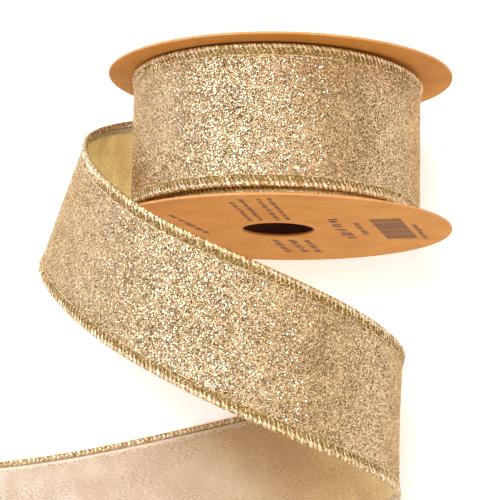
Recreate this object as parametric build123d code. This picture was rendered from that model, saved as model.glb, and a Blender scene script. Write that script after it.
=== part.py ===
from build123d import *
import math
import os

# A spool of wired gift ribbon, with one loose turn on the drum and a tail that has been pulled off.
# Millimetres, +Z up.  The spool lies on the rims of its two flanges, its axis along +Y, and the origin
# is the middle of that axis.  The ribbon runs the way a positive turn about +Y goes, and its tail comes
# out past the near flange, on the -Y side, and ends lying on the surface that the spool stands on.

# ---- driving dimensions -----------------------------------------------------------------------------
flange_radius = 46.5
board_thickness = 0.7
board_edge_round = 0.2
flange_gap = 40.8  # between the inner faces of the two flanges
arbor_radius = 9.5

core_inner_radius = 18.5
core_wall = 1.5
glue_bead_leg = 1.6

tape_thickness = 0.12
tape_width = 19.0
tape_arc = 70.0  # degrees of the core that the tape covers

ribbon_width = 37.6
fabric_thickness = 0.45
edging_width = 3.0
edging_thickness = 1.3
edging_cut = 0.35  # its corners are taken off by this
wire_thickness = 0.36  # squared off: the same metal as a round wire of 0.4
wire_inset = 1.0  # from the ribbon's edge to the middle of the wire

wound_inner_radius = 20.3
wound_outer_radius = 36.5
wound_shift = 0.3  # towards the far flange
wound_wire_margin = 0.4

# The loose outer turn, from its inner end under the drum to where the tail leaves it.
turn_radius = 37.5  # where it lies close on the wound ribbon
turn_start = 180.0  # degrees from +Z towards +X
turn_step = 36.0
turn_bulge = 2.4  # how far it stands off further round
bulge_angle = 308.0
bulge_spread = 70.0
turn_shift = 1.3  # it lies up against the far flange
turn_drift = 2.1  # how far it wanders back towards the near flange, over the quarter turn past the top
drift_start = 375.0
drift_span = 90.0

# The tail: the middle of the ribbon as x, y, z, and its bank, the angle in degrees that the ribbon is
# turned about its own run away from upright.
floor_run = edging_thickness / 2 - flange_radius
tail_stations = [
    (0.8, 0.0, -42.0, 3),
    (-24.2, -0.8, -38.5, -15),
    (-48.2, -2.8, -31.5, -33),
    (-60.8, -11.0, -9.0, -25),
    (-55.3, -24.9, 12.0, -2),
    (-40.7, -39.1, 26.0, 14),
    (-19.0, -50.8, 33.5, 14),
    (4.1, -60.4, 32.5, 9),
    (24.8, -68.0, 20.0, 6),
    (35.5, -72.3, -2.5, 1),
    (30.0, -75.9, -28.0, -4),
    (9.2, -80.8, -43.0, -4),
    (-14.7, -86.7, floor_run, 0),
    (-38.6, -92.6, floor_run, 0),
    (-62.5, -97.5, floor_run, 0),
    (-86.9, -100.4, floor_run + 1, 2),
    (-110.9, -102.9, floor_run + 4, 5),
]
tail_end = 25.9  # in stations, counted along the whole route
slope_step = 0.001  # in stations, to each side of a place, to find which way a line runs there

# ---- sizes that follow ------------------------------------------------------------------------------
core_radius = core_inner_radius + core_wall
fabric_width = ribbon_width - 2 * edging_width
edging_middle = (ribbon_width - edging_width) / 2
wire_middle = ribbon_width / 2 - wire_inset
turn_stations = 10
turn_first, turn_last = 1, turn_stations + 1
sides = {"near": -1, "far": 1}


# ---- the ribbon's route -----------------------------------------------------------------------------
def turn_station(index):
    """A station of the loose turn.  It lies outside its arc, which the cubic spline draws inwards."""
    angle = turn_start + turn_step * (index - turn_first)
    drifted = min(max((angle - drift_start) / drift_span, 0), 1)
    y = turn_shift - turn_drift * (1 - math.cos(math.pi * drifted)) / 2
    bulge = turn_bulge * math.exp(-(((angle - bulge_angle) / bulge_spread) ** 2))
    drawn_in = (2 + math.cos(math.radians(turn_step))) / 3
    radius = (turn_radius + bulge) / drawn_in
    return (radius * math.sin(math.radians(angle)), y, radius * math.cos(math.radians(angle)), 0.0)


stations = [turn_station(index) for index in range(turn_last)] + tail_stations


def route_plane(along):
    """The plane across the ribbon at a place along the route: x across it towards the far edge."""
    first = min(int(along), len(stations) - 3) - 1
    t = along - first - 1
    weights = [(1 - t) ** 3, 3 * t**3 - 6 * t**2 + 4, -3 * t**3 + 3 * t**2 + 3 * t + 1, t**3]
    slopes = [-((1 - t) ** 2), 3 * t**2 - 4 * t, -3 * t**2 + 2 * t + 1, t**2]
    near_stations = stations[first : first + 4]
    x, y, z, bank = [sum(w * s[i] for w, s in zip(weights, near_stations)) / 6 for i in range(4)]
    forward = [sum(w * s[i] for w, s in zip(slopes, near_stations)) / 2 for i in range(3)]
    heading = Vector(*forward).normalized()
    upright = (Vector(0, 1, 0) - heading * heading.Y).normalized()
    across = upright.rotate(Axis((0, 0, 0), tuple(heading)), bank)
    return Plane(origin=(x, y, z), x_dir=across, z_dir=heading)


def corner_line(corner, start, end):
    """The line that one corner of a section draws between two places along the route."""

    def at(place):
        return route_plane(place).from_local_coords(corner)

    def slope(place):
        return at(min(place + slope_step, tail_end)) - at(max(place - slope_step, turn_first))

    points = [at(place) for place in (start, (start + end) / 2, end)]
    return Edge.make_spline(points, tangents=[slope(start), slope(end)])


def along_route(outline, start, end):
    """A closed solid that carries a flat outline, given by its corners, along the route."""
    spans = math.ceil(end - start)
    cuts = [start + (end - start) * cut / spans for cut in range(spans + 1)]
    faces = []
    for low, high in zip(cuts, cuts[1:]):
        lines = [corner_line(corner, low, high) for corner in outline]
        faces += [Face.make_surface_from_curves(*pair) for pair in zip(lines, lines[1:] + lines[:1])]
    for place in (start, end):
        corners = [route_plane(place).from_local_coords(corner) for corner in outline]
        faces.append(make_face(Polyline(*corners, close=True)))
    return Solid(Shell(faces))


# ---- the pieces -------------------------------------------------------------------------------------
def ring(outer_radius, inner_radius, y_low, y_high):
    """A plain ring about the spool's axis."""
    middle = Pos(0, (y_low + y_high) / 2, 0) * Rot(90, 0, 0)
    length = y_high - y_low
    return middle * (Cylinder(outer_radius, length) - Cylinder(inner_radius, length))


def flange(side):
    """A die-cut disc of kraft board with the arbor hole."""
    inner_face, outer_face = flange_gap / 2, flange_gap / 2 + board_thickness
    disc = ring(flange_radius, arbor_radius, *sorted((side * inner_face, side * outer_face)))
    rims = disc.edges().filter_by(GeomType.CIRCLE).group_by(SortBy.RADIUS)[-1]
    return fillet(rims, board_edge_round)


def glue_bead(side):
    """The bead in the corner between the core tube's bore and the flange."""
    face = side * flange_gap / 2
    wall = core_inner_radius
    corner = make_face(
        Polyline(
            (wall, face),
            (wall, face - side * glue_bead_leg),
            (wall - glue_bead_leg, face),
            close=True,
        )
    )
    return revolve(corner, Axis.Y)


def starter_tape():
    """The strip that holds the ribbon's inner end on the core."""
    band = ring(core_radius + tape_thickness, core_radius, -tape_width / 2, tape_width / 2)
    reach = 2 * core_radius
    half = math.radians(tape_arc / 2)
    wedge = make_face(
        Polyline(
            (0, 0),
            (reach * math.cos(half), reach * math.sin(half)),
            (reach * math.cos(half), -reach * math.sin(half)),
            close=True,
        )
    )
    return band & (Rot(90, 0, 0) * extrude(wedge, tape_width, both=True))


def wound_edging(side):
    low, high = sorted((side * fabric_width / 2, side * ribbon_width / 2))
    return ring(wound_outer_radius, wound_inner_radius, wound_shift + low, wound_shift + high)


def wound_wire(side):
    outer = wound_outer_radius - wound_wire_margin
    inner = wound_inner_radius + wound_wire_margin
    low = wound_shift + side * wire_middle - wire_thickness / 2
    return ring(outer, inner, low, low + wire_thickness)


def rectangle_outline(middle, width, thickness, cut=0.0):
    """The corners of a flat section, each cut off at 45 degrees, going round once."""
    corners = []
    for x, y in ((1, 1), (-1, 1), (-1, -1), (1, -1)):
        tip = (middle + x * width / 2, y * thickness / 2)
        cuts = [(tip[0] - x * cut, tip[1]), (tip[0], tip[1] - y * cut)]
        corners += (cuts if x * y < 0 else cuts[::-1]) if cut else [tip]
    return corners


def ribbon_stretch(name, start, end):
    """The fabric, edging and wires of one stretch of the ribbon, by node name."""
    made = {f"{name}_fabric": along_route(rectangle_outline(0, fabric_width, fabric_thickness), start, end)}
    for word, side in sides.items():
        edging = rectangle_outline(side * edging_middle, edging_width, edging_thickness, edging_cut)
        wire = rectangle_outline(side * wire_middle, wire_thickness, wire_thickness)
        made[f"{name}_{word}_edging"] = along_route(edging, start, end)
        made[f"{name}_{word}_wire"] = along_route(wire, start, end)
    return made


pieces = {
    "core_tube": ring(core_radius, core_inner_radius, -flange_gap / 2, flange_gap / 2),
    "starter_tape": starter_tape(),
    "wound_fabric": ring(
        wound_outer_radius,
        wound_inner_radius,
        wound_shift - fabric_width / 2,
        wound_shift + fabric_width / 2,
    ),
}
for word, side in sides.items():
    pieces[f"{word}_flange"] = flange(side)
    pieces[f"{word}_glue_bead"] = glue_bead(side)
    pieces[f"wound_{word}_edging"] = wound_edging(side)
    pieces[f"wound_{word}_wire"] = wound_wire(side)
pieces.update(ribbon_stretch("turn", turn_first, turn_last))
pieces.update(ribbon_stretch("tail", turn_last, tail_end))

os.makedirs("parts", exist_ok=True)
for name, piece in pieces.items():
    export_step(piece, f"parts/{name}.step")
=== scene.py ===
import math

import bpy
import numpy as np
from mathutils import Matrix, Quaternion, Vector


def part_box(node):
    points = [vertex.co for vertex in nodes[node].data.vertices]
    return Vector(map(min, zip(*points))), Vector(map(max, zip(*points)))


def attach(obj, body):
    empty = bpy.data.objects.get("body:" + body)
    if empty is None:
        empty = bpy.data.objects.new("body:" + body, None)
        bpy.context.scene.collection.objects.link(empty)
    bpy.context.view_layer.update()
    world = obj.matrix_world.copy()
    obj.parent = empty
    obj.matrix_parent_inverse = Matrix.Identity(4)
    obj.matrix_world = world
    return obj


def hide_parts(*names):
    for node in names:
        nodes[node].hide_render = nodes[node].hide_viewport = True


# A spool of wired glitter ribbon with a pulled-off tail.  Metres, in the frame of the CAD model: the
# spool's axis is Y, the floor it lies on is at minus the flange radius, and the tail is on the -Y side.

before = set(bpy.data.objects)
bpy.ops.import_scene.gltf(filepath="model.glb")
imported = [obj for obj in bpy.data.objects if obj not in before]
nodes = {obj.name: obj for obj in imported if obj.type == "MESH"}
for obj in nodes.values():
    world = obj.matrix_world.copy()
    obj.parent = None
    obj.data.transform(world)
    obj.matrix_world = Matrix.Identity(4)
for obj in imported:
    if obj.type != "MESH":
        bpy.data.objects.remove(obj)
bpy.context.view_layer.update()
MM = 0.001
rng = np.random.default_rng(41)

# ---- sizes, from the CAD nodes ----------------------------------------------------------------------
flange_low, flange_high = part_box("near_flange")
flange_radius = flange_high.x
board = flange_high.y - flange_low.y
flange_inner_face = abs(flange_high.y)
core_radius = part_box("core_tube")[1].x
wound_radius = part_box("wound_fabric")[1].x
floor_level = -flange_radius
arbor_radius = 9.5 * MM
edge_round = 0.22 * MM  # of the board's cut edges
wound_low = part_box("wound_near_edging")[0].y
wound_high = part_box("wound_far_edging")[1].y
ribbon_half = (wound_high - wound_low) / 2
wound_shift = (wound_high + wound_low) / 2
edging_thick = 1.3 * MM
fabric_thick = 0.45 * MM
sheet_half = ribbon_half - 0.5 * MM  # the bound rope takes the cloth to its full width
glitter_half = ribbon_half - 3.45 * MM  # how far out from the middle the glitter reaches
stitch = 1.25 * MM  # one overlock stitch along the edge
wire_radius = 0.2 * MM
wire_inset = 0.75 * MM  # from the ribbon's edge to the middle of the wire
rope_inset = 0.85 * MM  # the same for the bound rope round it
rope_half_width = 0.8 * MM
rope_half_height = 0.64 * MM
ripple_height = 0.28 * MM


# ---- the ribbon's runs ------------------------------------------------------------------------------
class Run:
    """A path that the ribbon follows: its middle line, its two directions, and the way along it."""

    def __init__(self, centre, heading, across):
        outward = np.cross(heading, across)
        steps = np.linalg.norm(np.diff(centre, axis=0), axis=1)
        self.along = np.concatenate([[0.0], np.cumsum(steps)])
        self.length = self.along[-1]
        self.table = np.concatenate([centre, across, outward], axis=1)
        self.swell = np.zeros(len(centre))

    def frames(self, s):
        s = np.asarray(s, float)
        got = np.stack([np.interp(s, self.along, column) for column in self.table.T], axis=-1)
        return got[..., :3], got[..., 3:6], got[..., 6:]

    def at(self, s, w, h):
        """Points at the way along s, w across and h out from the middle of the cloth."""
        s, w, h = np.broadcast_arrays(np.asarray(s, float), w, h)
        centre, across, outward = self.frames(s)
        h = h + ripple(s, w) * np.interp(s, self.along, self.swell)
        return centre + across * w[..., None] + outward * h[..., None]


def ripple(s, w):
    """The slight unevenness of a ribbon that has been wound and bent by hand."""
    long_wave = np.sin(s / (9.3 * MM) + 0.8 * np.sin(s / (31 * MM)) + w / (14 * MM))
    cross_wave = np.sin(s / (5.1 * MM) - w / (6.5 * MM) + 1.3)
    edge_wave = np.sin(s / (6.7 * MM) + 2.0 * np.sign(w)) * (w / ribbon_half) ** 2
    return (0.45 * long_wave + 0.2 * cross_wave + 0.45 * edge_wave) * ripple_height


# The free ribbon's route, the same as in the CAD source, in millimetres and degrees.  First the loose
# turn, and then the tail's stations: x, y, z and bank.
turn_radius = 37.5
turn_start = 180.0
turn_step = 36.0
turn_stations = 10
turn_bulge = 2.4
bulge_angle = 308.0
bulge_spread = 70.0
turn_shift = 1.3
turn_drift = 2.1
drift_start = 375.0
drift_span = 90.0
route_start = 1.0  # in stations
route_end = 25.9
floor_run = (edging_thick / 2 - flange_radius) / MM
tail_stations = [
    (0.8, 0.0, -42.0, 3),
    (-24.2, -0.8, -38.5, -15),
    (-48.2, -2.8, -31.5, -33),
    (-60.8, -11.0, -9.0, -25),
    (-55.3, -24.9, 12.0, -2),
    (-40.7, -39.1, 26.0, 14),
    (-19.0, -50.8, 33.5, 14),
    (4.1, -60.4, 32.5, 9),
    (24.8, -68.0, 20.0, 6),
    (35.5, -72.3, -2.5, 1),
    (30.0, -75.9, -28.0, -4),
    (9.2, -80.8, -43.0, -4),
    (-14.7, -86.7, floor_run, 0),
    (-38.6, -92.6, floor_run, 0),
    (-62.5, -97.5, floor_run, 0),
    (-86.9, -100.4, floor_run + 1, 2),
    (-110.9, -102.9, floor_run + 4, 5),
]


def turn_station(index):
    """A station of the loose turn.  It lies outside its arc, which the cubic spline draws inwards."""
    angle = turn_start + turn_step * (index - route_start)
    bulge = turn_bulge * math.exp(-(((angle - bulge_angle) / bulge_spread) ** 2))
    radius = (turn_radius + bulge) * 3 / (2 + math.cos(math.radians(turn_step)))
    drifted = min(max((angle - drift_start) / drift_span, 0), 1)
    y = turn_shift - turn_drift * (1 - math.cos(math.pi * drifted)) / 2
    return (radius * math.sin(math.radians(angle)), y, radius * math.cos(math.radians(angle)), 0.0)


def unit(vectors):
    return vectors / np.linalg.norm(vectors, axis=-1, keepdims=True)


def free_run(samples=3000):
    """The loose turn and the tail, as one uniform cubic B-spline over the stations."""
    turn = [turn_station(index) for index in range(turn_stations + 1)]
    stations = np.array(turn + tail_stations, float)
    along = np.linspace(route_start, route_end, samples)
    index = np.minimum(along.astype(int), len(stations) - 3) - 1
    t = along - index - 1
    weights = np.stack(
        [(1 - t) ** 3, 3 * t**3 - 6 * t**2 + 4, -3 * t**3 + 3 * t**2 + 3 * t + 1, t**3]
    )
    slopes = np.stack([-((1 - t) ** 2), 3 * t**2 - 4 * t, -3 * t**2 + 2 * t + 1, t**2])
    near = stations[index[None, :] + np.arange(4)[:, None]]
    value = np.einsum("ks,ksd->sd", weights, near) / 6
    heading = unit(np.einsum("ks,ksd->sd", slopes, near)[:, :3])
    y_axis = np.array([0.0, 1.0, 0.0])
    upright = unit(y_axis - heading * heading[:, 1:2])
    bank = np.radians(value[:, 3:4])
    across = upright * np.cos(bank) + np.cross(heading, upright) * np.sin(bank)
    run = Run(value[:, :3] * MM, heading, across)
    # it ripples freely in the air, less on the drum, and not at all where it lies on the floor
    off_floor = np.clip((value[:, 2] * MM - floor_level - 2 * MM) / (8 * MM), 0, 1)
    off_drum = np.clip((along - 9.5) / 2.5, 0.35, 1)
    run.swell = off_floor * off_drum
    return run


def wound_run(pitch, inner, outer, samples_per_turn=180):
    """The turns wound on the core, from the inside to where the loose turn starts, under the drum."""
    turns = (outer - inner) / pitch
    samples = int(turns * samples_per_turn)
    turned = np.linspace(-turns, 0, samples)
    angle = math.pi + 2 * math.pi * turned
    radius = outer + pitch * turned
    rim = np.stack([np.sin(angle), np.zeros(samples), np.cos(angle)], axis=1)
    heading = np.stack([np.cos(angle), np.zeros(samples), -np.sin(angle)], axis=1)
    across = np.tile([0.0, 1.0, 0.0], (samples, 1))
    return Run(rim * radius[:, None] + across * wound_shift, heading, across)


free = free_run()
wound = wound_run(edging_thick, core_radius + 0.9 * MM, wound_radius - edging_thick / 2)


# ---- meshes -----------------------------------------------------------------------------------------
def piece(
    name, points, faces, materials, body, replaces=(), looks=None, smooth=True, sides=None
):
    """A mesh object riding on its body, from points and from arrays of faces with as many corners each.

    looks holds the values each point carries for the materials, and sides each face's material.
    """
    points = np.asarray(points, np.float32).reshape(-1, 3)
    faces = [np.asarray(f, np.int32) for f in faces if len(f)]
    loops = np.concatenate([f.ravel() for f in faces])
    sizes = np.concatenate([np.full(len(f), f.shape[1]) for f in faces])
    mesh = bpy.data.meshes.new(name)
    mesh.vertices.add(len(points))
    mesh.vertices.foreach_set("co", points.ravel())
    mesh.loops.add(len(loops))
    mesh.loops.foreach_set("vertex_index", loops)
    mesh.polygons.add(len(sizes))
    starts = np.concatenate([[0], np.cumsum(sizes)[:-1]]).astype(np.int32)
    mesh.polygons.foreach_set("loop_start", starts)
    if sides is not None:
        mesh.polygons.foreach_set("material_index", np.concatenate(sides).astype(np.int32))
    mesh.update(calc_edges=True)
    mesh.validate()
    for word, values in (looks or {}).items():
        values = np.asarray(values, np.float32)
        kind = "FLOAT_VECTOR" if values.ndim > 1 else "FLOAT"
        layer = mesh.attributes.new(word, kind, "POINT")
        layer.data.foreach_set("vector" if values.ndim > 1 else "value", values.ravel())
    if smooth:
        mesh.shade_smooth()
    for material in materials:
        mesh.materials.append(material)
    made = bpy.data.objects.new(name, mesh)
    bpy.context.scene.collection.objects.link(made)
    if body:
        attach(made, body)
    if replaces:
        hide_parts(*replaces)
    return made


def grid_faces(rows, columns, offset=0, wrap=False, flip=False):
    """Quads between neighbouring rows of a grid of points; wrap joins the last column to the first."""
    i, j = np.meshgrid(np.arange(rows - 1), np.arange(columns if wrap else columns - 1), indexing="ij")
    k = (j + 1) % columns
    this_row, next_row = i * columns, (i + 1) * columns
    quads = np.stack([this_row + j, this_row + k, next_row + k, next_row + j], -1)
    quads = quads.reshape(-1, 4) + offset
    return quads[:, ::-1] if flip else quads


def cloth_strip(name, run, step, columns, body, replaces):
    """A run of the ribbon's cloth, closed and thin: its face on the outside, its back on the inside."""
    rows = int(round(run.length / step)) + 1
    s = np.linspace(0.0, run.length, rows)[:, None]
    share = np.linspace(-1, 1, columns)[None, :]
    w = share * sheet_half
    face_h = np.full_like(s * w, fabric_thick / 2)
    rounded = np.clip((np.abs(share) - 0.985) / 0.015, 0, 1) * fabric_thick * 0.3
    top = run.at(s, w, face_h - rounded)
    under = run.at(s, w, -face_h + rounded)
    count = rows * columns
    faces = [grid_faces(rows, columns), grid_faces(rows, columns, count, flip=True)]
    edges = []
    for column, turned in ((0, True), (columns - 1, False)):
        a = np.arange(rows - 1) * columns + column
        quad = np.stack([a, a + count, a + columns + count, a + columns], -1)
        edges.append(quad if turned else quad[:, ::-1])
    for row, turned in ((0, False), (rows - 1, True)):
        a = row * columns + np.arange(columns - 1)
        quad = np.stack([a, a + count, a + 1 + count, a + 1], -1)
        edges.append(quad if turned else quad[:, ::-1])
    faces += edges
    sides = [np.zeros(len(faces[0]))] + [np.ones(len(f)) for f in faces[1:]]
    place = np.stack(np.broadcast_arrays(s, w, np.zeros_like(s * w)), -1).reshape(-1, 3) / MM
    looks = {"cloth": np.concatenate([place, place])}
    points = np.concatenate([top.reshape(-1, 3), under.reshape(-1, 3)])
    # the normal of the first row's quads says which way round the faces are
    a, b, c = points[faces[0][0][:3]]
    outward = run.frames(np.array([0.0]))[2][0]
    if np.dot(np.cross(b - a, c - b), outward) < 0:
        faces = [f[:, ::-1] for f in faces]
    materials = [glitter, satin]
    return piece(
        name, points, faces, materials, body, replaces, looks, sides=sides
    )


def threads(paths, outward, radius, sides=6, flat=1.0):
    """Closed tubes along many paths of the same length: (n, points, 3), with a hint of outward."""
    n, m, _ = paths.shape
    tangent = unit(np.gradient(paths, axis=1))
    side = unit(np.cross(tangent, outward))
    normal = np.cross(side, tangent)
    turn = np.linspace(0, 2 * math.pi, sides, endpoint=False)
    reach = np.broadcast_to(radius, (n, m))[..., None, None]
    ring = side[:, :, None, :] * np.cos(turn)[:, None]
    ring = ring + flat * normal[:, :, None, :] * np.sin(turn)[:, None]
    points = (paths[:, :, None, :] + reach * ring).reshape(-1, 3)
    one = grid_faces(m, sides, wrap=True)
    base = (np.arange(n) * m * sides)[:, None, None]
    quads = (one[None] + base).reshape(-1, 4)
    cap = np.arange(sides)[None, :] + (np.arange(n) * m * sides)[:, None]
    last = (m - 1) * sides
    return points, [quads, cap[:, ::-1], cap + last]


def joined(parts):
    """One set of points and faces from several, with the values each part's points carry."""
    points, faces, tones, offset = [], {}, [], 0
    for part_points, part_faces, tone in parts:
        points.append(part_points)
        for f in part_faces:
            faces.setdefault(f.shape[1], []).append(f + offset)
        tones.append(np.broadcast_to(tone, len(part_points)))
        offset += len(part_points)
    return np.concatenate(points), [np.concatenate(f) for f in faces.values()], np.concatenate(tones)


def rope(run, side, start, end, step, around=12, lobes=2, depth=0.2):
    """The bound edge over the wire: a rope of wrapped threads, with the hollows between its strands."""
    rows = int((end - start) / step) + 1
    s = np.linspace(start, end, rows)[:, None]
    turn = np.linspace(0, 2 * math.pi, around, endpoint=False)[None, :]
    uneven = 0.6 * np.sin(s / (2.9 * MM)) + 0.5 * np.sin(s / (1.7 * MM) + 2)
    phase = s / stitch - side * lobes * turn / (2 * math.pi) + 0.08 * uneven
    lobe = 2 * np.abs(phase - np.floor(phase) - 0.5)
    crown = np.sqrt(np.clip(1 - 0.97 * lobe**2, 0, 1))
    reach = 1 - depth * (1 - crown)
    inset = rope_inset - rope_half_width * reach * np.cos(turn)
    height = rope_half_height * reach * np.sin(turn)
    points = run.at(s, side * (ribbon_half - inset), height)
    faces = [grid_faces(rows, around, wrap=True, flip=side < 0)]
    caps = np.arange(around)[None, :]
    last = caps + (rows - 1) * around
    faces += [caps[:, ::-1] if side > 0 else caps, last if side > 0 else last[:, ::-1]]
    own = np.random.default_rng(7).random(int(run.length / stitch) + 4 * lobes)
    number = np.clip(np.floor(phase).astype(int) + 2 * lobes, 0, len(own) - 1)
    # painted shade and highlight: each strand is darker towards the hollows beside it and on the rope's
    # inner and outer sides, and brightest on its crown; the rest of its tone differs from strand to
    # strand
    tone = crown**2 * (0.35 + 0.3 * own[number] + 0.35 * (number % 2))
    tone = (tone * (0.3 + 0.7 * np.abs(np.sin(turn)))).reshape(-1)
    return points.reshape(-1, 3), faces, tone


def strands(run, side, numbers, knots, radius, tones, sides=5, flat=0.8, jitter=0.07, steps=7):
    """One thread for each stitch of the given numbers, through its knots."""
    knots = np.array(knots, float)
    number = np.arange(*numbers)[:, None]
    share = np.linspace(0, len(knots) - 1, steps)[None, :]
    order = np.arange(len(knots))
    along, inset, height, painted_light = (np.interp(share, order, column) for column in knots.T)
    wobble = rng.normal(0, jitter, (len(number), 3))
    s = (number + side * along + wobble[:, :1]) * stitch
    s = np.clip(s, run.along[0], run.length)
    w = side * (ribbon_half - (inset + wobble[:, 1:2]) * MM)
    h = (height * (1 + wobble[:, 2:3])) * MM
    paths = run.at(s, w, h)
    outward = run.frames(s)[2]
    width = radius * MM * (1 + rng.normal(0, 0.08, (len(number), 1)))
    points, faces = threads(paths, outward, width, sides, flat)
    low, high = tones
    # the knots' brightness is painted shade, darker where a thread dips towards the cloth
    tone = np.repeat((low + (high - low) * rng.random((len(number), 1))) * painted_light, sides)
    return points, faces, tone


# The threads that one stitch lays down.  Each has its knots (along in stitches, inset from the edge in
# mm, height in mm, brightness, which is painted shade where the thread dips towards the cloth), its
# radius in mm, and its darkest and brightest tone.
stitch_threads = [
    (  # over the face, from the rim inwards
        [
            (-0.5, 0.7, 0.62, 1.0),
            (0.0, 1.3, 0.60, 1.0),
            (0.35, 1.9, 0.42, 0.55),
            (0.6, 2.5, 0.32, 0.45),
            (0.7, 3.1, 0.26, 0.5),
        ],
        0.25,
        (0.4, 1.0),
    ),
    (  # over the face, and back out
        [
            (0.55, 3.1, 0.24, 0.5),
            (0.85, 2.6, 0.30, 0.45),
            (1.1, 2.0, 0.36, 0.45),
            (1.4, 1.4, 0.46, 0.8),
        ],
        0.22,
        (0.2, 0.8),
    ),
    (  # over the back, from the rim inwards
        [
            (-0.4, 0.7, -0.62, 0.6),
            (0.0, 1.1, -0.58, 1.0),
            (0.25, 1.4, -0.48, 1.0),
            (0.4, 1.6, -0.30, 0.5),
        ],
        0.25,
        (0.3, 1.0),
    ),
    (  # over the back, and back out
        [(0.45, 1.6, -0.28, 0.5), (0.7, 1.3, -0.44, 0.8), (0.95, 1.0, -0.55, 1.0)],
        0.2,
        (0.5, 1.0),
    ),
    (  # the needle line's chain on the face
        [(0.0, 3.1, 0.24, 0.8), (0.3, 3.25, 0.38, 1.0), (0.7, 3.25, 0.38, 1.0), (1.08, 3.1, 0.24, 0.8)],
        0.15,
        (0.45, 0.75),
    ),
    (  # the chain's second thread
        [
            (0.4, 3.15, 0.24, 0.7),
            (0.6, 3.42, 0.32, 1.0),
            (0.9, 3.42, 0.32, 1.0),
            (1.05, 3.2, 0.24, 0.7),
        ],
        0.12,
        (0.35, 0.65),
    ),
    (  # the needle line's dots on the back
        [
            (0.2, 2.85, -0.22, 0.8),
            (0.4, 2.9, -0.34, 1.0),
            (0.65, 2.98, -0.34, 1.0),
            (0.85, 3.02, -0.22, 0.8),
        ],
        0.19,
        (0.55, 0.75),
    ),
]


def stitched_edge(run, side, start, end):
    """The overlocked edge of a stretch: its rope, the threads on both faces, and the needle line."""
    numbers = int(start / stitch) + 1, int(end / stitch) - 1
    parts = [rope(run, side, start, end, stitch / 5)]
    for knots, radius, tones in stitch_threads:
        parts.append(strands(run, side, numbers, knots, radius, tones))
    return joined(parts)


def round_wire(run, side, step):
    """The wire inside one edge of a whole run."""
    rows = int(run.length / step) + 1
    s = np.linspace(0.0, run.length, rows)[None, :]
    paths = run.at(s, side * (ribbon_half - wire_inset), 0.0)
    return threads(paths, run.frames(s)[2], wire_radius, 8)


# ---- materials --------------------------------------------------------------------------------------
class Look:
    """A node material with one Principled shader and short names for what is put in front of it."""

    def __init__(self, name):
        self.material = bpy.data.materials.new(name)
        self.material.use_nodes = True
        self.tree = self.material.node_tree
        self.shader = self.tree.nodes["Principled BSDF"]

    def node(self, kind, inputs=(), **settings):
        made = self.tree.nodes.new(kind)
        for word, value in settings.items():
            setattr(made, word, value)
        for key, value in dict(inputs).items():
            if isinstance(value, bpy.types.NodeSocket):
                self.tree.links.new(value, made.inputs[key])
            else:
                made.inputs[key].default_value = value
        return made

    def put(self, socket, value):
        if isinstance(value, bpy.types.NodeSocket):
            self.tree.links.new(value, self.shader.inputs[socket])
        else:
            self.shader.inputs[socket].default_value = value

    def attribute(self, word):
        return self.node("ShaderNodeAttribute", attribute_name=word)

    def place(self):
        return self.node("ShaderNodeTexCoord").outputs["Object"]

    def scaled(self, vector, scale):
        return self.node("ShaderNodeMapping", {"Vector": vector, "Scale": scale}).outputs[0]

    def noise(self, vector, scale, detail=2.0, rough=0.5):
        return self.node(
            "ShaderNodeTexNoise",
            {"Vector": vector, "Scale": scale, "Detail": detail, "Roughness": rough},
        ).outputs["Fac"]

    def cells(self, vector, scale):
        return self.node("ShaderNodeTexVoronoi", {"Vector": vector, "Scale": scale})

    def ramp(self, value, stops):
        made = self.node("ShaderNodeValToRGB", {"Fac": value})
        while len(made.color_ramp.elements) < len(stops):
            made.color_ramp.elements.new(0.5)
        for element, (at, colour) in zip(made.color_ramp.elements, stops):
            element.position = at
            element.color = (*colour, 1)
        return made.outputs["Color"]

    def math(self, kind, a, b=0.0, c=0.0, clamp=False):
        return self.node(
            "ShaderNodeMath", {0: a, 1: b, 2: c}, operation=kind, use_clamp=clamp
        ).outputs[0]

    def mix(self, share, a, b, kind="MIX"):
        made = self.node("ShaderNodeMix", data_type="RGBA", blend_type=kind)
        for socket, value in ((0, share), (6, a), (7, b)):
            if isinstance(value, bpy.types.NodeSocket):
                self.tree.links.new(value, made.inputs[socket])
            elif socket == 0:
                made.inputs[0].default_value = value
            else:
                made.inputs[socket].default_value = (*value, 1)
        return made.outputs[2]

    def range(self, value, low, high, to_low=0.0, to_high=1.0):
        return self.node(
            "ShaderNodeMapRange",
            {0: value, 1: low, 2: high, 3: to_low, 4: to_high},
        ).outputs[0]

    def bump(self, height, distance, strength=1.0, normal=None):
        sizes = {"Height": height, "Distance": distance, "Strength": strength}
        made = self.node("ShaderNodeBump", sizes)
        if normal is not None:
            self.tree.links.new(normal, made.inputs["Normal"])
        return made.outputs[0]

    def tilted(self, colour, amount):
        """The surface's normal, leaned over by a cell's colour."""
        kind = "ShaderNodeVectorMath"
        normal = self.node("ShaderNodeNewGeometry").outputs["Normal"]
        lean = self.node(kind, {0: colour, 1: (0.5, 0.5, 0.5)}, operation="SUBTRACT").outputs[0]
        lean = self.node(kind, {0: lean, "Scale": amount}, operation="SCALE").outputs[0]
        normal = self.node(kind, {0: normal, 1: lean}, operation="ADD").outputs[0]
        return self.node(kind, {0: normal}, operation="NORMALIZE").outputs[0]

    def split(self, colour):
        return self.node("ShaderNodeSeparateColor", {0: colour}).outputs

    def apart(self, vector):
        return self.node("ShaderNodeSeparateXYZ", {0: vector}).outputs


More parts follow.
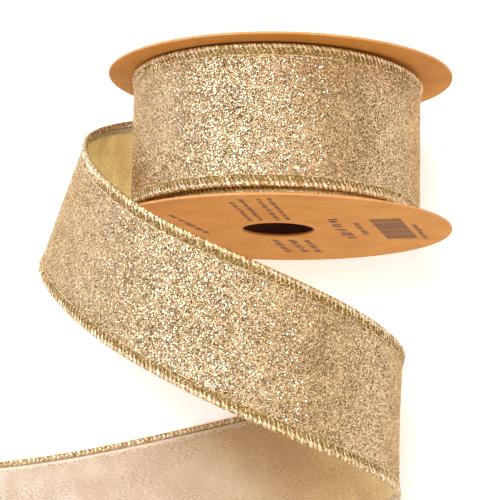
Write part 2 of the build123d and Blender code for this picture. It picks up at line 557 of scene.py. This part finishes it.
def glitter_look(name):
    """Glitter glued on gold cloth: small facets, each with its own colour and tilt."""
    look = Look(name)
    place = look.place()
    big = look.cells(place, 1 / (0.24 * MM))
    small = look.cells(place, 1 / (0.16 * MM))
    big_r, big_g, big_b = look.split(big.outputs["Color"])[:3]
    small_r = look.split(small.outputs["Color"])[0]
    patch = look.noise(place, 1 / (7 * MM), 3.0, 0.6)
    level = look.math("MULTIPLY_ADD", big_r, 0.62, look.math("MULTIPLY", small_r, 0.38))
    level = look.math("ADD", level, look.math("MULTIPLY_ADD", patch, 0.36, -0.18), clamp=True)
    gold = look.ramp(
        level,
        [
            (0.0, (0.04, 0.02, 0.003)),
            (0.40, (0.14, 0.08, 0.018)),
            (0.48, (0.52, 0.34, 0.145)),
            (0.57, (0.97, 0.68, 0.38)),
            (1.0, (1.0, 0.85, 0.68)),
        ],
    )
    warm = look.ramp(
        big_b, [(0.0, (0.96, 1.0, 0.68)), (0.45, (1.0, 1.0, 0.94)), (1.0, (1.0, 0.92, 0.98))]
    )
    gold = look.mix(1.0, gold, warm, "MULTIPLY")
    # the thread-covered margin next to the edging has no glitter, and its colour is painted darker
    # there as the shade in the valley under the threads
    w = look.apart(look.attribute("cloth").outputs["Vector"])[1]
    reach = glitter_half / MM
    margin = look.range(look.math("ABSOLUTE", w), reach - 0.1, reach + 0.15)
    dull_shaded_margin = look.mix(0.6, gold, (0.24, 0.155, 0.045))
    look.put("Base Color", look.mix(margin, gold, dull_shaded_margin))
    rough = look.math("MULTIPLY_ADD", big_g, 0.2, 0.16)
    look.put("Roughness", look.math("MULTIPLY_ADD", margin, 0.25, rough))
    look.put("Metallic", look.math("MULTIPLY_ADD", margin, -0.3, 0.65))
    facets = look.tilted(big.outputs["Color"], 1.1)
    look.put("Normal", look.bump(small.outputs["Distance"], 0.05 * MM, 0.6, facets))
    # a clear film on some facets mirrors the lights, and less so where the cloth is seen edge on
    filmed = look.math("GREATER_THAN", small_r, 0.45)
    filmed = look.math("MULTIPLY", filmed, look.math("SUBTRACT", 1.0, margin))
    edge_on = look.node("ShaderNodeLayerWeight", {"Blend": 0.5}).outputs["Facing"]
    gloss = look.range(edge_on, 0.35, 0.75, 1.0, 0.0)
    look.put("Coat Weight", look.math("MULTIPLY", filmed, gloss))
    look.put("Coat Roughness", 0.1)
    look.put("Coat IOR", 2.6)
    look.put("Coat Tint", (1.0, 0.95, 0.85, 1))
    look.put("Coat Normal", look.tilted(big.outputs["Color"], 0.8))
    look.put("Specular Tint", (0.55, 0.37, 0.16, 1))
    return look.material


def satin_look(name):
    """The woven back of the ribbon: fine cross ribs, long slubs, and a soft shine."""
    look = Look(name)
    cloth = look.attribute("cloth").outputs["Vector"]
    s, w = look.apart(cloth)[:2]
    rib = look.math("SINE", look.math("MULTIPLY", s, 2 * math.pi / 0.34))
    warp = look.math("SINE", look.math("MULTIPLY", w, 2 * math.pi / 0.26))
    weave = look.math("MULTIPLY_ADD", look.math("MULTIPLY", rib, warp), 0.5, 0.5)
    slub = look.noise(look.scaled(cloth, (0.9, 3.6, 1)), 1.0, 3.0, 0.65)
    fine = look.noise(look.scaled(cloth, (2.2, 4.5, 1)), 1.0, 2.0, 0.6)
    broad = look.noise(look.scaled(cloth, (0.05, 0.09, 1)), 1.0, 2.0)
    cloud = look.noise(look.scaled(cloth, (0.14, 0.10, 1)), 1.0, 1.5, 0.5)
    level = look.math("ADD", look.math("MULTIPLY", slub, 0.5), look.math("MULTIPLY", fine, 0.5))
    gold = look.ramp(
        level, [(0.41, (0.24, 0.15, 0.06)), (0.5, (0.62, 0.44, 0.27)), (0.60, (0.98, 0.79, 0.62))]
    )
    gold = look.mix(look.range(weave, 0, 1, 0.0, 0.35), gold, (0.36, 0.23, 0.11))
    gold = look.mix(look.range(broad, 0.38, 0.62, 0.0, 0.45), gold, (0.84, 0.64, 0.48))
    # painted light and shade along the ribbon: lighter over most of it, a deeper, darker gold in the
    # tail's last bend where the front run above shades it, and paler along the end that lies flat in
    # the open
    stretch = look.math("DIVIDE", s, free.length / MM)
    painted_light_and_shade = look.ramp(
        stretch,
        [
            (0.78, (1.3, 1.34, 1.2)),
            (0.85, (0.70, 0.60, 0.42)),
            (0.91, (0.80, 0.77, 0.80)),
            (0.96, (0.97, 1.0, 1.22)),
        ],
    )
    gold = look.mix(1.0, gold, painted_light_and_shade, "MULTIPLY")
    gold = look.mix(look.range(cloud, 0.36, 0.64, 0.0, 0.5), gold, (0.40, 0.25, 0.15))
    # painted shade: under the edging the cloth is painted dark, and a dark line paints the shade of a
    # groove just inside it; the paler margin beyond is painted light, making up for the light that the
    # edging keeps from coming through the cloth
    inset = look.math("SUBTRACT", ribbon_half / MM, look.math("ABSOLUTE", w))
    paler = look.math("MULTIPLY", look.math("LESS_THAN", inset, 3.3), 0.45)
    gold = look.mix(paler, gold, (1.0, 0.82, 0.60))
    groove_shade = look.math("COMPARE", inset, 1.8, 0.2)
    under = look.math("LESS_THAN", inset, 1.65)
    groove_shade = look.math("MULTIPLY", groove_shade, 0.75)
    dark = look.math("MAXIMUM", groove_shade, look.math("MULTIPLY", under, 0.8))
    look.put("Base Color", look.mix(dark, gold, (0.14, 0.085, 0.02)))
    look.put("Roughness", look.range(fine, 0.2, 0.8, 0.42, 0.6))
    look.put("Metallic", 0.1)
    # less light comes through the end that lies on the floor, and next to none beside its edging
    resting = look.range(stretch, 0.78, 0.86)
    beside = look.math("MULTIPLY", look.math("LESS_THAN", inset, 3.4), 0.45)
    held = look.math("MULTIPLY", resting, look.math("ADD", beside, 0.3))
    look.put("Subsurface Weight", look.math("SUBTRACT", 0.9, held))
    look.put("Subsurface Radius", (1.0, 0.80, 0.50))
    look.put("Subsurface Scale", 3.0 * MM)
    look.put("Coat Weight", 0.6)
    look.put("Coat Roughness", 0.45)
    look.put("Coat IOR", 1.7)
    look.put("Sheen Weight", 0.25)
    look.put("Sheen Roughness", 0.4)
    look.put("Sheen Tint", (1.0, 0.86, 0.66, 1))
    look.put("Anisotropic", 0.4)
    height = look.math("ADD", look.math("MULTIPLY", weave, 0.6), look.math("MULTIPLY", slub, 0.7))
    look.put("Normal", look.bump(height, 0.06 * MM, 0.9))
    return look.material


def thread_look(name, dark, middle, bright, foil):
    """Metallic thread: painted highlight where a strand stands up and painted shade where it sinks,
    from its tone, with flecks where its foil strip twists.
    """
    look = Look(name)
    place = look.place()
    tone = look.attribute("tone").outputs["Fac"]
    flecks = look.cells(place, 1 / (0.27 * MM))
    fleck, gloss = look.split(flecks.outputs["Color"])[:2]
    fine = look.noise(place, 1 / (0.14 * MM), 1.0, 0.5)
    level = look.math("MULTIPLY_ADD", tone, 0.72, look.math("MULTIPLY_ADD", fleck, 0.62, -0.16))
    gold = look.ramp(
        level, [(0.1, dark), (0.38, middle), (0.66, bright), (0.9, (1.0, 0.93, 0.84))]
    )
    look.put("Base Color", gold)
    look.put("Metallic", foil)
    look.put("Roughness", look.math("MULTIPLY_ADD", gloss, 0.25, 0.2))
    look.put("Anisotropic", 0.3)
    twisted = look.tilted(flecks.outputs["Color"], 0.7)
    look.put("Normal", look.bump(fine, 0.03 * MM, 0.6, twisted))
    return look.material


def kraft_look(name):
    """Uncoated kraft board: fibres, specks, a painted highlight along the rim and a darker edge round
    the hole.
    """
    look = Look(name)
    place = look.place()
    x, _, z = look.apart(place)[:3]
    fibres = look.noise(look.scaled(place, (1 / 0.0016, 1, 1 / 0.0005)), 1.0, 4.0, 0.65)
    crossed = look.noise(look.scaled(place, (1 / 0.0005, 1, 1 / 0.0014)), 1.0, 3.0, 0.6)
    cloud = look.noise(place, 1 / (9 * MM), 3.0, 0.55)
    speck = look.noise(place, 1 / (0.7 * MM), 2.0, 0.7)
    mottle = look.math("ADD", look.math("MULTIPLY", fibres, 0.4), look.math("MULTIPLY", crossed, 0.3))
    mottle = look.math("ADD", mottle, look.math("MULTIPLY", cloud, 0.3))
    brown = look.ramp(
        mottle, [(0.36, (0.53, 0.20, 0.032)), (0.5, (0.68, 0.29, 0.055)), (0.66, (0.78, 0.37, 0.095))]
    )
    brown = look.mix(look.range(speck, 0.64, 0.72, 0.0, 0.45), brown, (0.22, 0.09, 0.03))
    squares = look.math("ADD", look.math("MULTIPLY", x, x), look.math("MULTIPLY", z, z))
    radius = look.math("SQRT", squares)
    rim = look.range(radius, flange_radius - 0.5 * MM, flange_radius - 0.15 * MM)
    # painted highlight: the colour is paler along the rim, broken up by the specks
    rim_highlight = look.math("MULTIPLY", rim, look.range(speck, 0.35, 0.65, 0.1, 1.0))
    brown = look.mix(look.math("MULTIPLY", rim_highlight, 0.5), brown, (0.80, 0.46, 0.30))
    hole = look.range(radius, arbor_radius + 0.1 * MM, arbor_radius + 0.5 * MM, 1.0, 0.0)
    brown = look.mix(look.math("MULTIPLY", hole, 0.5), brown, (0.36, 0.12, 0.05))
    look.put("Base Color", brown)
    look.put("Roughness", look.range(fibres, 0.3, 0.7, 0.62, 0.82))
    look.put("Specular IOR Level", 0.2)
    height = look.math("ADD", look.math("MULTIPLY", fibres, 0.6), look.math("MULTIPLY", speck, 0.6))
    look.put("Normal", look.bump(height, 0.06 * MM, 0.6))
    return look.material


def ink_look(name):
    """Thin brown ink, broken up a little by the board's fibres."""
    look = Look(name)
    place = look.place()
    broken = look.noise(place, 1 / (0.45 * MM), 3.0, 0.7)
    brown = look.ramp(broken, [(0.35, (0.08, 0.026, 0.012)), (0.7, (0.23, 0.085, 0.032))])
    look.put("Base Color", brown)
    look.put("Roughness", look.range(broken, 0.3, 0.7, 0.5, 0.75))
    look.put("Normal", look.bump(broken, 0.02 * MM, 0.5))
    return look.material


def core_look(name):
    """Spiral-wound paper tube: plies that overlap along a helix, with fibres and a greyer seam."""
    look = Look(name)
    place = look.place()
    x, y, z = look.apart(place)[:3]
    angle = look.math("DIVIDE", look.math("ARCTAN2", x, z), 2 * math.pi)
    turns = look.math("ADD", look.math("DIVIDE", y, 34 * MM), angle)
    seam = look.math("PINGPONG", turns, 0.5)
    fibre = look.noise(place, 1 / (0.6 * MM), 4.0, 0.65)
    cloud = look.noise(place, 1 / (6 * MM), 2.0)
    level = look.math("ADD", look.math("MULTIPLY", fibre, 0.6), look.math("MULTIPLY", cloud, 0.4))
    tan = look.ramp(level, [(0.35, (0.17, 0.065, 0.035)), (0.6, (0.28, 0.12, 0.06))])
    line = look.range(seam, 0.0, 0.012, 1.0, 0.0)
    look.put("Base Color", look.mix(look.math("MULTIPLY", line, 0.6), tan, (0.08, 0.03, 0.015)))
    look.put("Roughness", look.range(fibre, 0.3, 0.7, 0.7, 0.9))
    height = look.math("SUBTRACT", look.math("MULTIPLY", fibre, 0.4), line)
    look.put("Normal", look.bump(height, 0.08 * MM, 0.8))
    return look.material


def glue_look(name):
    """Set hot-melt glue: cloudy amber, smooth and lumpy."""
    look = Look(name)
    place = look.place()
    cloud = look.noise(place, 1 / (2.2 * MM), 3.0)
    look.put("Base Color", look.ramp(cloud, [(0.35, (0.50, 0.36, 0.17)), (0.7, (0.72, 0.60, 0.38))]))
    look.put("Roughness", look.range(cloud, 0.3, 0.7, 0.2, 0.42))
    look.put("Subsurface Weight", 0.2)
    look.put("Subsurface Radius", (0.002, 0.0012, 0.0006))
    look.put("Normal", look.bump(cloud, 0.4 * MM, 0.8))
    return look.material


def tape_look(name):
    """Crepe paper tape, creased across its length."""
    look = Look(name)
    place = look.place()
    crepe = look.noise(look.scaled(place, (1 / 0.0006, 1 / 0.004, 1 / 0.0006)), 1.0, 3.0, 0.6)
    look.put("Base Color", look.ramp(crepe, [(0.35, (0.52, 0.42, 0.24)), (0.68, (0.74, 0.64, 0.44))]))
    look.put("Roughness", look.range(crepe, 0.3, 0.7, 0.55, 0.75))
    look.put("Normal", look.bump(crepe, 0.1 * MM, 0.9))
    return look.material


def wire_look(name):
    """Bright drawn craft wire."""
    look = Look(name)
    place = look.place()
    drawn = look.noise(place, 1 / (0.3 * MM), 2.0)
    look.put("Base Color", look.ramp(drawn, [(0.3, (0.62, 0.60, 0.55)), (0.7, (0.82, 0.80, 0.76))]))
    look.put("Metallic", 1.0)
    look.put("Roughness", look.range(drawn, 0.3, 0.7, 0.2, 0.4))
    look.put("Normal", look.bump(drawn, 0.02 * MM, 0.5))
    return look.material


def flake_look(name):
    """The largest flakes, each one plane of foil: colour from the flake, gloss from the foil."""
    look = Look(name)
    tone = look.attribute("tone").outputs["Fac"]
    place = look.place()
    film = look.noise(place, 1 / (0.3 * MM), 1.0)
    gold = look.ramp(
        tone,
        [
            (0.0, (0.36, 0.20, 0.05)),
            (0.3, (0.80, 0.54, 0.22)),
            (0.6, (0.98, 0.74, 0.42)),
            (1.0, (1.0, 0.88, 0.76)),
        ],
    )
    dulled = look.range(film, 0.3, 0.7, 0.0, 0.25)
    look.put("Base Color", look.mix(dulled, gold, (0.55, 0.40, 0.18)))
    look.put("Metallic", 0.9)
    look.put("Roughness", look.range(film, 0.3, 0.7, 0.14, 0.3))
    look.put("Normal", look.bump(film, 0.01 * MM, 0.4))
    return look.material


glitter = glitter_look("glitter_face")
satin = satin_look("satin_back")
thread = thread_look("gold_thread", (0.18, 0.09, 0.014), (0.52, 0.32, 0.08), (1.0, 0.78, 0.50), 0.45)
# the same gold thread in brighter colours on the wound turns: painted light for edging that sits in
# shade between the flange and the loose turn
wound_thread_painted_lighter = thread_look(
    "gold_thread_wound_painted_lighter", (0.60, 0.36, 0.07), (1.0, 0.74, 0.26), (1.0, 0.92, 0.56), 0.35
)
kraft = kraft_look("kraft_board")
ink = ink_look("brown_ink")
wire = wire_look("craft_wire")
foil = flake_look("foil_flakes")

# ---- the free ribbon --------------------------------------------------------------------------------
sheet = cloth_strip(
    "ribbon_free_cloth",
    free,
    step=0.8 * MM,
    columns=41,
    body="ribbon",
    replaces=["turn_fabric", "tail_fabric"],
)
with_free = []
for word, side in (("near", -1), ("far", 1)):
    points, faces, tone = stitched_edge(free, side, 0.0, free.length)
    edging = piece(
        f"ribbon_free_{word}_edging",
        points,
        faces,
        [thread],
        "ribbon",
        [f"turn_{word}_edging", f"tail_{word}_edging"],
        {"tone": tone},
    )
    points, faces = round_wire(free, side, 1.0 * MM)
    edge_wire = piece(
        f"ribbon_free_{word}_wire",
        points,
        faces,
        [wire],
        "ribbon",
        [f"turn_{word}_wire", f"tail_{word}_wire"],
    )
    with_free += [edging, edge_wire]


def flakes(run, start, end, count, half):
    """Hexagons of foil lying at a tilt in the glue, each closed by a point sunk in the cloth."""
    s = rng.uniform(start, end, count)
    w = rng.uniform(-half, half, count)
    size = rng.uniform(0.09, 0.16, count) * MM
    centre = run.at(s, w, fabric_thick / 2 + 0.05 * MM)
    _, across, outward = run.frames(s)
    along = np.cross(across, outward)
    lean = rng.normal(0, 0.33, (count, 2))
    normal = unit(outward + across * lean[:, :1] + along * lean[:, 1:])
    spin = rng.uniform(0, 2 * math.pi, count)
    u = unit(np.cross(normal, across * np.cos(spin)[:, None] + along * np.sin(spin)[:, None]))
    v = np.cross(normal, u)
    turn = np.linspace(0, 2 * math.pi, 6, endpoint=False)
    rim = centre[:, None] + size[:, None, None] * (
        u[:, None] * np.cos(turn)[:, None] + v[:, None] * np.sin(turn)[:, None]
    )
    root = centre - outward * (0.16 * MM)
    points = np.concatenate([rim, root[:, None]], axis=1).reshape(-1, 3)
    base = (np.arange(count) * 7)[:, None]
    top = base + np.arange(6)[None]
    skirt = np.concatenate([base + np.array([k, 6, (k + 1) % 6])[None] for k in range(6)])
    tone = np.repeat(rng.random(count), 7)
    return points, [top, skirt], tone


turn_share = turn_stations / (route_end - route_start)
turn_length = float(np.interp(turn_share, np.linspace(0, 1, len(free.along)), free.along))
for name, start, end, count in (
    ("turn_glitter_flakes", 0.0, turn_length, 19000),
    ("tail_glitter_flakes", turn_length, free.length, 28000),
):
    start, end = start + 0.5 * MM, end - 0.5 * MM
    points, faces, tone = flakes(free, start, end, count, glitter_half - 0.2 * MM)
    made = piece(
        name, points, faces, [foil], "ribbon", looks={"tone": tone}, smooth=False
    )
    with_free.append(made)

# ---- the wound ribbon -------------------------------------------------------------------------------
last_turn = wound.length - 2 * math.pi * wound_radius  # only this much shows its stitches
roll = cloth_strip(
    "ribbon_wound_cloth",
    wound,
    step=1.8 * MM,
    columns=15,
    body="spool",
    replaces=["wound_fabric"],
)
with_wound = []
for word, side in (("near", -1), ("far", 1)):
    parts = [
        rope(wound, side, 0.0, last_turn, stitch / 2, around=8, depth=0.15),
        stitched_edge(wound, side, last_turn, wound.length),
    ]
    points, faces, tone = joined(parts)
    edging = piece(
        f"ribbon_wound_{word}_edging",
        points,
        faces,
        [wound_thread_painted_lighter],
        "spool",
        [f"wound_{word}_edging"],
        {"tone": tone},
    )
    points, faces = round_wire(wound, side, 1.6 * MM)
    edge_wire = piece(
        f"ribbon_wound_{word}_wire",
        points,
        faces,
        [wire],
        "spool",
        [f"wound_{word}_wire"],
    )
    with_wound += [edging, edge_wire]


# ---- the spool --------------------------------------------------------------------------------------
def board_disc(name, side, node, around=288, flat_steps=16):
    """A die-cut disc of kraft board: its edges pressed slightly round, and a faint fray at its rim."""
    inner, outer = side * flange_inner_face, side * (flange_inner_face + board)
    low, high = min(inner, outer), max(inner, outer)
    at_hole = np.linspace(0, math.pi / 2, 4)[:-1]
    at_rim = np.linspace(0.3, math.pi / 2, 5)
    radii = np.concatenate([
        arbor_radius + edge_round * (1 - np.cos(at_hole)),
        np.linspace(arbor_radius + edge_round, flange_radius - edge_round, flat_steps),
        flange_radius - edge_round + edge_round * np.sin(at_rim),
    ])
    drop = np.concatenate([
        edge_round * (1 - np.sin(at_hole)),
        np.zeros(flat_steps),
        edge_round * (1 - np.cos(at_rim)),
    ])
    profile_r = np.concatenate([radii, radii[::-1]])
    profile_y = np.concatenate([high - drop, (low + drop)[::-1]])
    turn = np.linspace(0, 2 * math.pi, around, endpoint=False)[:, None]
    uneven = 0.9995 + 0.00045 * np.sin(turn * 3 + 1) * (profile_r / flange_radius) ** 4
    fray = 0.04 * MM * np.sin(turn * 41 + 2 * np.sin(turn * 13))
    fray = np.abs(fray * (profile_r > flange_radius - 0.4 * MM))
    r = np.minimum(profile_r * uneven - fray, flange_radius)
    points = np.stack([r * np.sin(turn), np.broadcast_to(profile_y, r.shape), r * np.cos(turn)], -1)
    count = len(profile_r)
    this_step = np.arange(around)[:, None] * count
    next_step = (this_step + count) % (around * count)
    j = np.arange(count)[None]
    k = (j + 1) % count
    quads = np.stack([this_step + j, this_step + k, next_step + k, next_step + j], -1)
    return piece(name, points, [quads.reshape(-1, 4)], [kraft], "spool", [node])


board_disc("near_flange_board", -1, "near_flange")
board_disc("far_flange_board", 1, "far_flange")

# Generic print on the near flange: rows of dashes and a block of bars, which say nothing.  A row is its
# place across the rows, its start and end along them, its height, and its lean, in millimetres from the
# flange's centre and degrees.
print_turn = math.radians(13.6)
reading = np.array([math.sin(print_turn), 0.0, -math.cos(print_turn)])
rows_out = np.array([math.cos(print_turn), 0.0, math.sin(print_turn)])
print_rows = [
    (-3.5, -38.0, -12.7, 1.6, -2),
    (-0.5, -41.3, -13.3, 1.6, -2),
    (4.0, -41.0, -13.0, 1.6, -2),
    (6.8, -41.5, -12.3, 1.6, -2),
    (-4.2, 14.0, 33.0, 2.5, 0),
    (0.3, 15.0, 33.5, 2.5, 0),
    (4.1, 16.0, 34.5, 2.5, 0),
    (17.0, -12.7, 15.0, 3.6, 0),
    (22.2, -6.4, 10.5, 2.3, 0),
    (37.0, -2.0, 19.0, 1.8, 0),
    (-23.4, -24.0, 2.0, 2.0, 7),
]
bar_block = (26.6, 35.0, -11.0, 17.0)  # from and to across the rows, from and to along them
ink_lift = 0.03 * MM


def ink_patch(across_low, across_high, along_low, along_high, lean=0.0, pivot=0.0):
    """A thin closed patch of ink on the near flange's outer face."""
    face = -(flange_inner_face + board)
    corners = []
    for y in (face - ink_lift, face + ink_lift):
        for a, b in (
            (along_low, across_low),
            (along_high, across_low),
            (along_high, across_high),
            (along_low, across_high),
        ):
            b += (a - pivot) * math.tan(math.radians(lean))
            point = reading * a * MM + rows_out * b * MM
            corners.append((point[0], y, point[2]))
    return np.array(corners)


def print_mesh():
    """The points and faces of all the dashes and bars."""
    patches = []
    for across, start, end, height, lean in print_rows:
        group = start
        while group < end - 0.5:
            group_end = min(group + rng.uniform(1.6, 5.2) * (height / 1.5) ** 0.5, end)
            dash = group
            while dash < group_end - 0.1:
                wide = min(rng.uniform(0.3, 0.75) * height, group_end - dash)
                low = across - height * rng.uniform(0.2, 0.5)
                high = across + height * rng.uniform(0.2, 0.5)
                patches.append(ink_patch(low, high, dash, dash + wide, lean, start))
                dash += wide + 0.2 * height
            group = group_end + 0.6 * height
    across_low, across_high, bar, end = bar_block
    while bar < end:
        wide = rng.choice([0.28, 0.28, 0.5, 0.75])
        patches.append(ink_patch(across_low, across_high, bar, min(bar + wide, end)))
        bar += wide + rng.choice([0.3, 0.3, 0.55])
    box = np.array(
        [[0, 1, 2, 3], [7, 6, 5, 4], [0, 4, 5, 1], [1, 5, 6, 2], [2, 6, 7, 3], [3, 7, 4, 0]]
    )
    faces = (box[None] + 8 * np.arange(len(patches))[:, None, None]).reshape(-1, 4)
    return np.concatenate(patches), [faces]


points, faces = print_mesh()
piece("flange_print", points, faces, [ink], "spool", smooth=False)

# the pieces held inside are the CAD's own
core_paper = core_look("spiral_paper")
glue = glue_look("hot_melt")
tape = tape_look("crepe_tape")
for node, material in (
    ("core_tube", core_paper),
    ("near_glue_bead", glue),
    ("far_glue_bead", glue),
    ("starter_tape", tape),
):
    mesh = nodes[node].data
    mesh.materials.clear()
    mesh.materials.append(material)


# ---- floor, light and camera ------------------------------------------------------------------------
def floor_look():
    """Plain white paper, lit a little from below."""
    look = Look("pale_floor")
    grain = look.noise(look.place(), 8.0, 2.0)
    look.put("Base Color", look.ramp(grain, [(0.3, (0.93, 0.93, 0.93)), (0.7, (0.96, 0.96, 0.96))]))
    look.put("Roughness", 0.9)
    look.put("Specular IOR Level", 0.1)
    look.put("Emission Color", (1.0, 1.0, 1.0, 1))
    look.put("Emission Strength", 0.42)
    return look.material


def studio_floor(size=6.0):
    x = np.linspace(-size, size, 9)
    level = [floor_level - 0.02 * MM]
    points = np.stack(np.meshgrid(x, x, level, indexing="ij"), -1).reshape(-1, 3)
    made = piece("studio_floor", points, [grid_faces(9, 9, flip=True)], [floor_look()], None)


light_aim = Vector((-20, -40, 0)) * MM
light_distance = 1.1


def area_light(name, towards, size, power, colour):
    """A square soft light that faces the middle of the scene from the given direction."""
    data = bpy.data.lights.new(name, "AREA")
    data.shape = "SQUARE"
    data.size = size
    data.energy = power
    data.color = colour
    lamp = bpy.data.objects.new(name, data)
    bpy.context.scene.collection.objects.link(lamp)
    direction = Vector(towards).normalized()
    lamp.location = light_aim + direction * light_distance
    lamp.rotation_mode = "QUATERNION"
    lamp.rotation_quaternion = direction.to_track_quat("Z", "Y")


studio_floor()
area_light("key", (-0.38, 0.36, 0.85), 0.6, 5.5, (0.97, 0.985, 1.0))
area_light("top", (-0.12, 0.11, 0.98), 0.2, 4.6, (0.97, 0.99, 1.0))
area_light("fill", (0.68, -0.2, 0.7), 0.9, 3.8, (1.0, 0.84, 0.60))
area_light("front", (-0.15, -0.62, 0.77), 0.9, 0.5, (1.0, 0.98, 0.96))


def studio_world(strength=0.6):
    """Soft white light all round, which falls off and gets warmer towards the right."""
    world = bpy.data.worlds.new("studio")
    world.use_nodes = True
    tree = world.node_tree
    background = tree.nodes["Background"]
    place = tree.nodes.new("ShaderNodeTexCoord")
    split = tree.nodes.new("ShaderNodeSeparateXYZ")
    share = tree.nodes.new("ShaderNodeMapRange")
    share.inputs["From Min"].default_value = -1.0
    share.inputs["From Max"].default_value = 1.0
    fall = tree.nodes.new("ShaderNodeValToRGB")
    fall.color_ramp.elements.new(0.9)
    colours = [
        (0.4, (1.0, 1.0, 1.0, 1)),
        (0.88, (0.62, 0.48, 0.34, 1)),
        (0.98, (0.12, 0.08, 0.05, 1)),
    ]
    for element, (at, colour) in zip(fall.color_ramp.elements, colours):
        element.position = at
        element.color = colour
    tree.links.new(place.outputs["Generated"], split.inputs[0])
    tree.links.new(split.outputs["X"], share.inputs["Value"])
    tree.links.new(share.outputs[0], fall.inputs["Fac"])
    tree.links.new(fall.outputs["Color"], background.inputs["Color"])
    background.inputs["Strength"].default_value = strength
    return world


bpy.context.scene.world = studio_world()
bpy.context.scene.view_settings.view_transform = "Standard"
bpy.context.scene.view_settings.look = "None"

camera_aim = Vector((-7.45, -25.89, -4.69)) * MM
camera_distance = 0.6663
camera_elevation = math.radians(79.7)
camera_roll = math.radians(1.0)
camera_data = bpy.data.cameras.new("camera")
camera_data.lens = 178.2
camera_data.sensor_width = 36.0
camera_data.clip_start = 0.05
camera_data.clip_end = 30.0
camera = bpy.data.objects.new("camera", camera_data)
bpy.context.scene.collection.objects.link(camera)
backward = Vector((0, -math.cos(camera_elevation), math.sin(camera_elevation)))
camera.location = camera_aim + backward * camera_distance
camera.rotation_mode = "QUATERNION"
tilt = Quaternion((1, 0, 0), math.pi / 2 - camera_elevation)
camera.rotation_quaternion = tilt @ Quaternion((0, 0, 1), camera_roll)
bpy.context.scene.camera = camera
